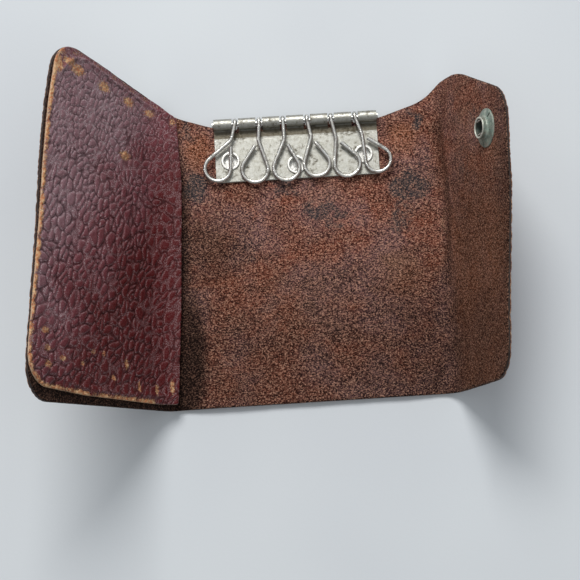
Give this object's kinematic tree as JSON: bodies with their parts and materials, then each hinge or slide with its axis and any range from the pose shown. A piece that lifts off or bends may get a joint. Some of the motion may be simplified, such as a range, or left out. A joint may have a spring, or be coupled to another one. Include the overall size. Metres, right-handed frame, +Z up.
{
  "type": "key case",
  "caption": "Trifold leather key case lying open: hook plate with swinging wire key hooks, a pocket flap and a snap flap.",
  "frame": {"origin": "on the underside of the centre panel, below the middle of the hook plate, at mid height of the panel", "axes": "+X across the case to the snap flap, +Y to the scooped edge with the hook barrel, +Z up out of the flesh side"},
  "size_m": [0.1369, 0.1013, 0.065],
  "materials": {
    "case_leather": "worn flesh side inside, worn burgundy grain outside",
    "pocket_leather": "pebbled burgundy grain, worn tan at the edges",
    "nickel_plate": "dull nickel plating, pitted",
    "nickel_wire": "worn nickel-plated wire",
    "rivet_metal": "rolled nickel-plated rivet",
    "snap_metal": "nickel-plated brass, tarnished green"
  },
  "bodies": {
    "case": {"centre_panel": "case_leather", "left_fold": "case_leather", "right_fold": "case_leather", "hook_plate": "nickel_plate", "hook_rod": "nickel_wire", "rivet_left": "rivet_metal", "rivet_middle": "rivet_metal", "rivet_right": "rivet_metal"},
    "left_cover": {"left_flap": "case_leather", "pocket_facing": "pocket_leather", "snap_stud": "snap_metal", "stud_eyelet": "snap_metal"},
    "right_cover": {"right_flap": "case_leather", "snap_cap": "snap_metal", "snap_socket": "snap_metal", "snap_springs": "nickel_wire"},
    "hook_1": {"key_hook_1": "nickel_wire"},
    "hook_2": {"key_hook_2": "nickel_wire"},
    "hook_3": {"key_hook_3": "nickel_wire"},
    "hook_4": {"key_hook_4": "nickel_wire"},
    "hook_5": {"key_hook_5": "nickel_wire"},
    "hook_6": {"key_hook_6": "nickel_wire"}
  },
  "joints": [
    {"name": "left_flap_fold", "type": "hinge", "parent": "case", "child": "left_cover", "pos_m": [-0.041, 0, 0.0039], "axis": [0, 1, 0], "range_deg": [-63, 117], "stiffness_Nm_per_rad": 0.05, "springref_deg": 2.29, "deforming": ["left_fold"]},
    {"name": "right_flap_fold", "type": "hinge", "parent": "case", "child": "right_cover", "pos_m": [0.0397, 0, 0.0062], "axis": [0, -1, 0], "range_deg": [-72, 108], "stiffness_Nm_per_rad": 0.05, "springref_deg": 0.86, "deforming": ["right_fold"]},
    {"name": "hook_swing_1", "type": "hinge", "parent": "case", "child": "hook_1", "pos_m": [-0.01837, 0.0428, 0.0032], "axis": [-1, 0, 0], "range_deg": [0, 180]},
    {"name": "hook_swing_2", "type": "hinge", "parent": "case", "child": "hook_2", "pos_m": [-0.01103, 0.0428, 0.0032], "axis": [-1, 0, 0], "range_deg": [0, 180]},
    {"name": "hook_swing_3", "type": "hinge", "parent": "case", "child": "hook_3", "pos_m": [-0.00367, 0.0428, 0.0032], "axis": [-1, 0, 0], "range_deg": [0, 180]},
    {"name": "hook_swing_4", "type": "hinge", "parent": "case", "child": "hook_4", "pos_m": [0.00367, 0.0428, 0.0032], "axis": [-1, 0, 0], "range_deg": [0, 180]},
    {"name": "hook_swing_5", "type": "hinge", "parent": "case", "child": "hook_5", "pos_m": [0.01103, 0.0428, 0.0032], "axis": [-1, 0, 0], "range_deg": [0, 180]},
    {"name": "hook_swing_6", "type": "hinge", "parent": "case", "child": "hook_6", "pos_m": [0.01837, 0.0428, 0.0032], "axis": [-1, 0, 0], "range_deg": [0, 180]}
  ]
}
